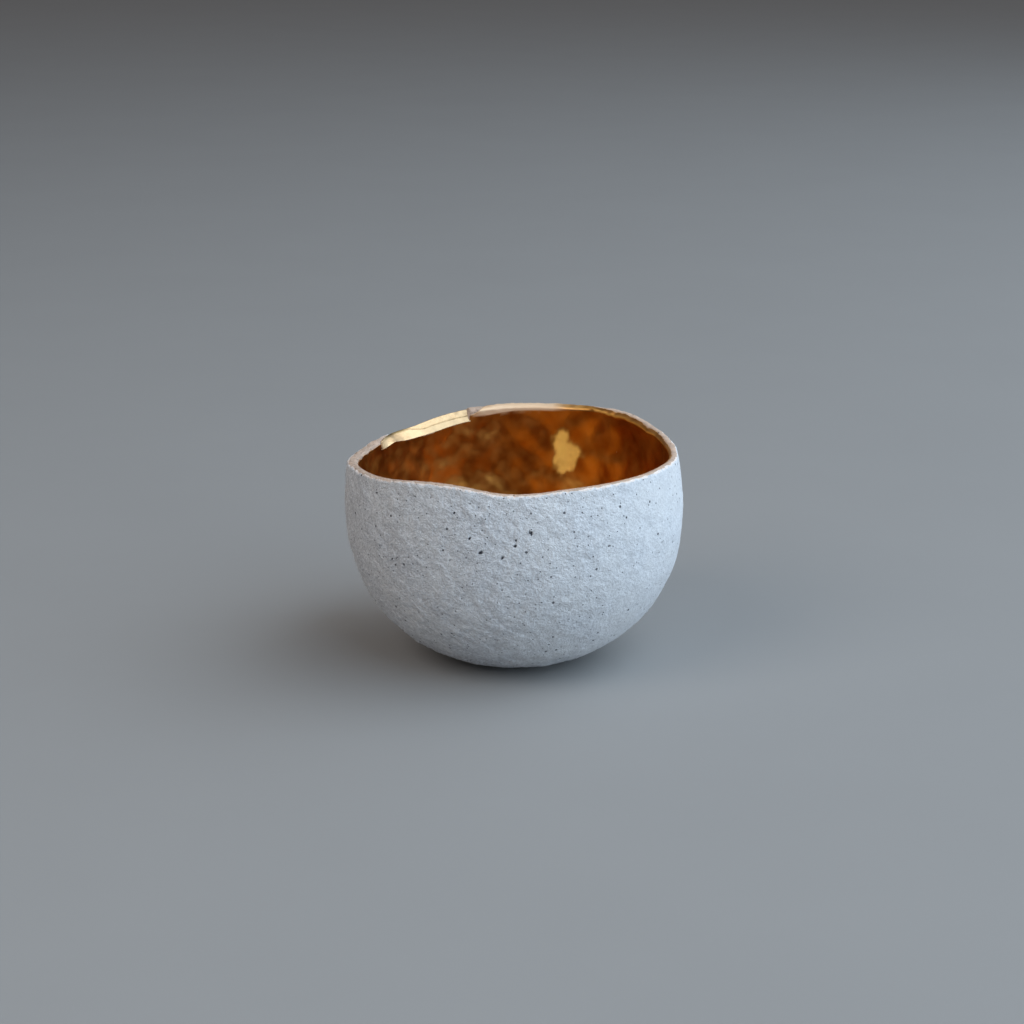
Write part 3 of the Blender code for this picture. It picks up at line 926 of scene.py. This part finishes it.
def mend_section(form, along, columns):
    """(radius, height) round the mend at a share of its length, and how much painted shade darkens it along
    the crease
    and under the crest: up the outside, over the crest, down the upper band to the crease, down the bevel and
    back under.
    The band narrows to nothing past the middle. The corners are rounded by averaging neighbours."""
    sizes, mend = form.sizes, form.mend
    outer = float(form.outer_radius(sizes.rim_height)) - max(form.chip_edge(along), 0) * sizes.rim_wall
    band = mend.band * sizes.rim_wall * np.interp(along, (mend.band_narrows, mend.band_ends), (1, 0))
    middle = (mend.band_narrows + mend.band_ends) / 2
    top = sizes.rim_height - mend.crest_drop - mend.dip * math.exp(-(((along - middle) / 0.15) ** 2))
    low = sizes.rim_height - form.outer_drop(along)
    bevel_end = sizes.rim_height - form.inner_drop(along) - 0.12 * MM
    wall = float(form.inner_radius(bevel_end))
    trim = mend.trim * max(0, (along - 0.86) / 0.14) ** 1.3
    top += (bevel_end - top) * trim
    outer += (wall - outer) * trim
    crest_radius = outer - 0.12 * MM
    fold_radius, fold_height = crest_radius - band, top - 1.25 * band
    notch = 0.12 * MM * min(band / (0.4 * MM), 1)
    chamfer = 0.05 * MM + 0.35 * MM * min(max(0.76 - along, 0) / 0.1, 1)
    corners = np.array([
        (outer - 0.30 * MM, low - 0.30 * MM),
        (outer + 0.3 * mend.proud, low - 0.28 * MM),
        (outer + mend.proud, low + 0.9 * MM),
        (outer + mend.proud, top - chamfer),
        (crest_radius, top),
        (fold_radius + 0.07 * MM, fold_height + 0.07 * MM),
        (fold_radius - notch, fold_height - notch),
        (fold_radius - 0.10 * MM, fold_height - 0.06 * MM),
        (wall - 0.16 * MM, bevel_end),
        (wall + 0.10 * MM, bevel_end - 0.12 * MM),
        (wall + 0.40 * MM, low - 0.30 * MM),
    ])
    loop = np.vstack([corners, corners[:1]])
    distances = np.linspace(0, line_lengths(loop)[-1], columns, endpoint=False)
    dense = np.column_stack(along_line(loop, distances))
    for _ in range(2):
        dense = (np.roll(dense, 1, axis=0) + 2 * dense + np.roll(dense, -1, axis=0)) / 4
    to_fold = np.hypot(dense[:, 0] - fold_radius, dense[:, 1] - fold_height)
    to_crest = np.hypot(dense[:, 0] - crest_radius, dense[:, 1] - top)
    # Painted shade: a dark line along the crease between the facets and a wider band under the crest.
    painted_fold_shade = np.exp(-((to_fold / (0.19 * MM)) ** 2)) * (notch > 0.03 * MM)
    painted_crest_shade = np.exp(-((to_crest / (0.56 * MM)) ** 4)) * math.exp(-(((along - 0.72) / 0.17) ** 4))
    return dense, np.maximum(0.45 * painted_fold_shade, painted_crest_shade)


class AddMend(SakeCupOperator):
    """Add the gilded lacquer that fills the chip in the rim"""

    bl_idname = "sake_cup.add_mend"
    bl_label = "Gilded Mend"

    def execute(self, context):
        finish = context.scene.sake_cup_mend
        form = self.form(context)
        steps, columns = 220, 120
        shares = np.linspace(0, 1, steps + 1)
        made = [mend_section(form, along, columns) for along in shares]
        sections, crease = (np.array(part) for part in zip(*made))
        centres = sections.mean(axis=1, keepdims=True)
        span = (finish.end - finish.start) * BODY_RADIUS
        from_end = np.minimum(shares * span / (0.15 * MM), (1 - shares) * span / (0.6 * MM))
        swell = np.clip(from_end, 0, 1)[:, None, None] ** 0.5
        sections = centres + (sections - centres) * (0.35 + 0.65 * swell)
        lap = 0.18 * MM / BODY_RADIUS
        azimuths = (finish.start - lap + (finish.end - finish.start + lap) * shares)[:, None]
        plain = turned(sections[..., 0], sections[..., 1], azimuths)
        rows = form.shaped(plain, chipped=False)
        uneven = 0.014 * MM * ripples(rows, 2.6 * MM, 41) + 0.004 * MM * ripples(rows, 1.1 * MM, 42)
        rows = rows + surface_normals(rows) * uneven[..., None]
        poles = rows[0].mean(axis=0), rows[-1].mean(axis=0)
        to_edge = np.minimum(shares, 1 - shares)[:, None] * span + np.zeros(rows.shape[:2])
        mesh = closed_surface("kintsugi_mend", poles[0], rows, poles[1], edge=to_edge, crease=crease)
        add_piece("kintsugi_mend", mesh, mend_material(finish), "gilded_lacquer", "kintsugi_fill")
        return {"FINISHED"}


def aimed(location, target):
    """A camera's or light's matrix at a place, looking at a target with +Z kept up."""
    direction = Vector(target) - Vector(location)
    return Matrix.Translation(location) @ direction.to_track_quat("-Z", "Y").to_matrix().to_4x4()


def add_softbox(name, location, target, size, power, tint):
    light = bpy.data.lights.new(name, "AREA")
    light.shape = "RECTANGLE"
    light.size, light.size_y = size
    light.energy = power
    light.color = tint
    lamp = bpy.data.objects.new(name, light)
    lamp.matrix_world = aimed(location, target)
    bpy.context.scene.collection.objects.link(lamp)


class AddStage(bpy.types.Operator):
    """Add the pale floor, the soft lights and the camera"""

    bl_idname = "sake_cup.add_stage"
    bl_label = "Studio"

    def execute(self, context):
        studio = context.scene.sake_cup_studio
        self.add_floor(studio)
        self.add_lights(context, studio)
        self.add_camera(context, studio)
        return {"FINISHED"}

    def add_floor(self, studio):
        mesh = bpy.data.meshes.new("floor")
        reach = 8.0
        corners = [(-reach, -reach, 0), (reach, -reach, 0), (reach, reach, 0), (-reach, reach, 0)]
        mesh.from_pydata(corners, [], [(0, 1, 2, 3)])
        floor = bpy.data.objects.new("floor", mesh)
        bpy.context.scene.collection.objects.link(floor)
        made, wiring, shader, place = new_material("pale_floor", roughness=0.75)
        clouds = wiring.group("Clouds", place=place, size=0.05, contrast=0.5)
        paler = [1.04 * part for part in studio.floor_colour]
        shade = wiring.blend(clouds, opaque(studio.floor_colour), opaque(paler))
        wiring.feed(shader.inputs["Base Color"], shade)
        mesh.materials.append(made)

    def add_lights(self, context, studio):
        world = bpy.data.worlds.new("room")
        world.use_nodes = True
        world.node_tree.nodes["Background"].inputs["Color"].default_value = opaque(studio.room_colour)
        context.scene.world = world
        middle = (0, 0, 0.03)
        add_softbox("key", (0.86, -0.45, 0.76), middle, (1.9, 1.9), studio.key_power, (0.59, 0.765, 0.93))
        add_softbox("back", (0.78, 0.58, 0.58), middle, (0.9, 0.7), studio.back_power, (0.59, 0.765, 0.93))
        add_softbox("top", (0.50, 0.14, 0.86), middle, (0.8, 0.8), studio.top_power, (1.0, 0.97, 0.94))
        add_softbox("side", (-0.52, -0.42, 0.62), middle, (0.5, 0.5), studio.side_power, (1.0, 0.94, 0.88))

    def add_camera(self, context, studio):
        aim = Vector((0, 0, 0.022))
        away = Vector((0, -math.cos(studio.camera_height), math.sin(studio.camera_height)))
        lens = bpy.data.cameras.new("camera")
        lens.sensor_width = 36.0
        lens.lens = 87.5
        lens.shift_x, lens.shift_y = -0.0030, 0.0371
        lens.clip_start = 0.01
        camera = bpy.data.objects.new("camera", lens)
        camera.matrix_world = aimed(aim + away * studio.camera_distance, aim)
        context.scene.collection.objects.link(camera)
        context.scene.camera = camera
        context.scene.view_settings.view_transform = "Standard"


class SakeCupPanel(bpy.types.Panel):
    """The cup's pieces and their sizes and colours"""

    bl_idname = "VIEW3D_PT_sake_cup"
    bl_label = "Sake Cup"
    bl_space_type = "VIEW_3D"
    bl_region_type = "UI"
    bl_category = "Sake Cup"

    def draw(self, context):
        self.list_settings(context, self.layout.box(), "sake_cup_sizes")
        for operator, group in PIECES:
            box = self.layout.box()
            box.operator(operator.bl_idname)
            self.list_settings(context, box, group)

    @staticmethod
    def list_settings(context, box, group):
        settings = getattr(context.scene, group)
        for name in settings.__annotations__:
            box.prop(settings, name)


PIECES = (
    (AddStoneware, "sake_cup_clay"),
    (AddLustre, "sake_cup_lustre"),
    (AddMend, "sake_cup_mend"),
    (AddStage, "sake_cup_studio"),
)
SETTINGS = {
    "sake_cup_sizes": CupSizes,
    "sake_cup_clay": ClayFinish,
    "sake_cup_lustre": LustreFinish,
    "sake_cup_mend": MendFinish,
    "sake_cup_studio": Studio,
}
CLASSES = (*SETTINGS.values(), *(operator for operator, _ in PIECES), SakeCupPanel)


def register():
    for made in CLASSES:
        bpy.utils.register_class(made)
    for name, group in SETTINGS.items():
        setattr(bpy.types.Scene, name, PointerProperty(type=group))


def unregister():
    for name in SETTINGS:
        delattr(bpy.types.Scene, name)
    for made in reversed(CLASSES):
        bpy.utils.unregister_class(made)


def main():
    register()
    bpy.ops.sake_cup.add_stoneware()
    bpy.ops.sake_cup.add_lustre()
    bpy.ops.sake_cup.add_mend()
    bpy.ops.sake_cup.add_stage()


if __name__ == "__main__":
    main()
